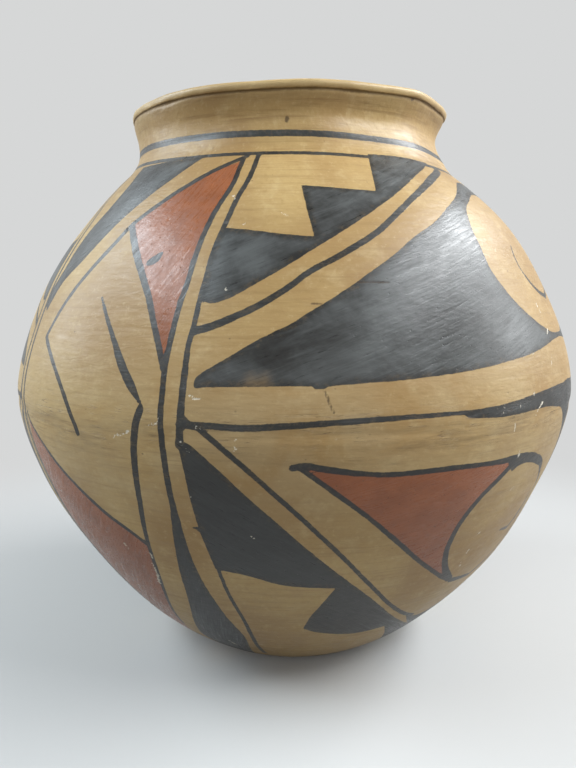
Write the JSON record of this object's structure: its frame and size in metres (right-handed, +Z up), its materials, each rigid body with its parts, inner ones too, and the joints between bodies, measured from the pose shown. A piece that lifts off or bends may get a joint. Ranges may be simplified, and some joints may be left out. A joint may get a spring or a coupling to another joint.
{
  "type": "pottery jar",
  "caption": "Hand-coiled round pottery jar with a short flared neck, a rolled lip and a flat foot, burnished and painted with black and red fields on buff slip.",
  "frame": {"origin": "centre of the flat foot, on the surface that the jar stands on", "axes": "+Z up along the jar's axis, -Y towards the viewer of the painted front, +X to the viewer's right"},
  "size_m": [0.38, 0.38, 0.361],
  "materials": {
    "fired_clay": "burnished buff slip with black and brick-red mineral paint, bare fired clay inside"
  },
  "bodies": {
    "root": {"base_dish": "fired_clay", "bowl_coil_1": "fired_clay", "bowl_coil_2": "fired_clay", "bowl_coil_3": "fired_clay", "bowl_coil_4": "fired_clay", "shoulder_coil_1": "fired_clay", "shoulder_coil_2": "fired_clay", "shoulder_coil_3": "fired_clay", "shoulder_coil_4": "fired_clay", "shoulder_coil_5": "fired_clay", "neck_coil": "fired_clay", "lip_coil": "fired_clay"}
  },
  "joints": []
}
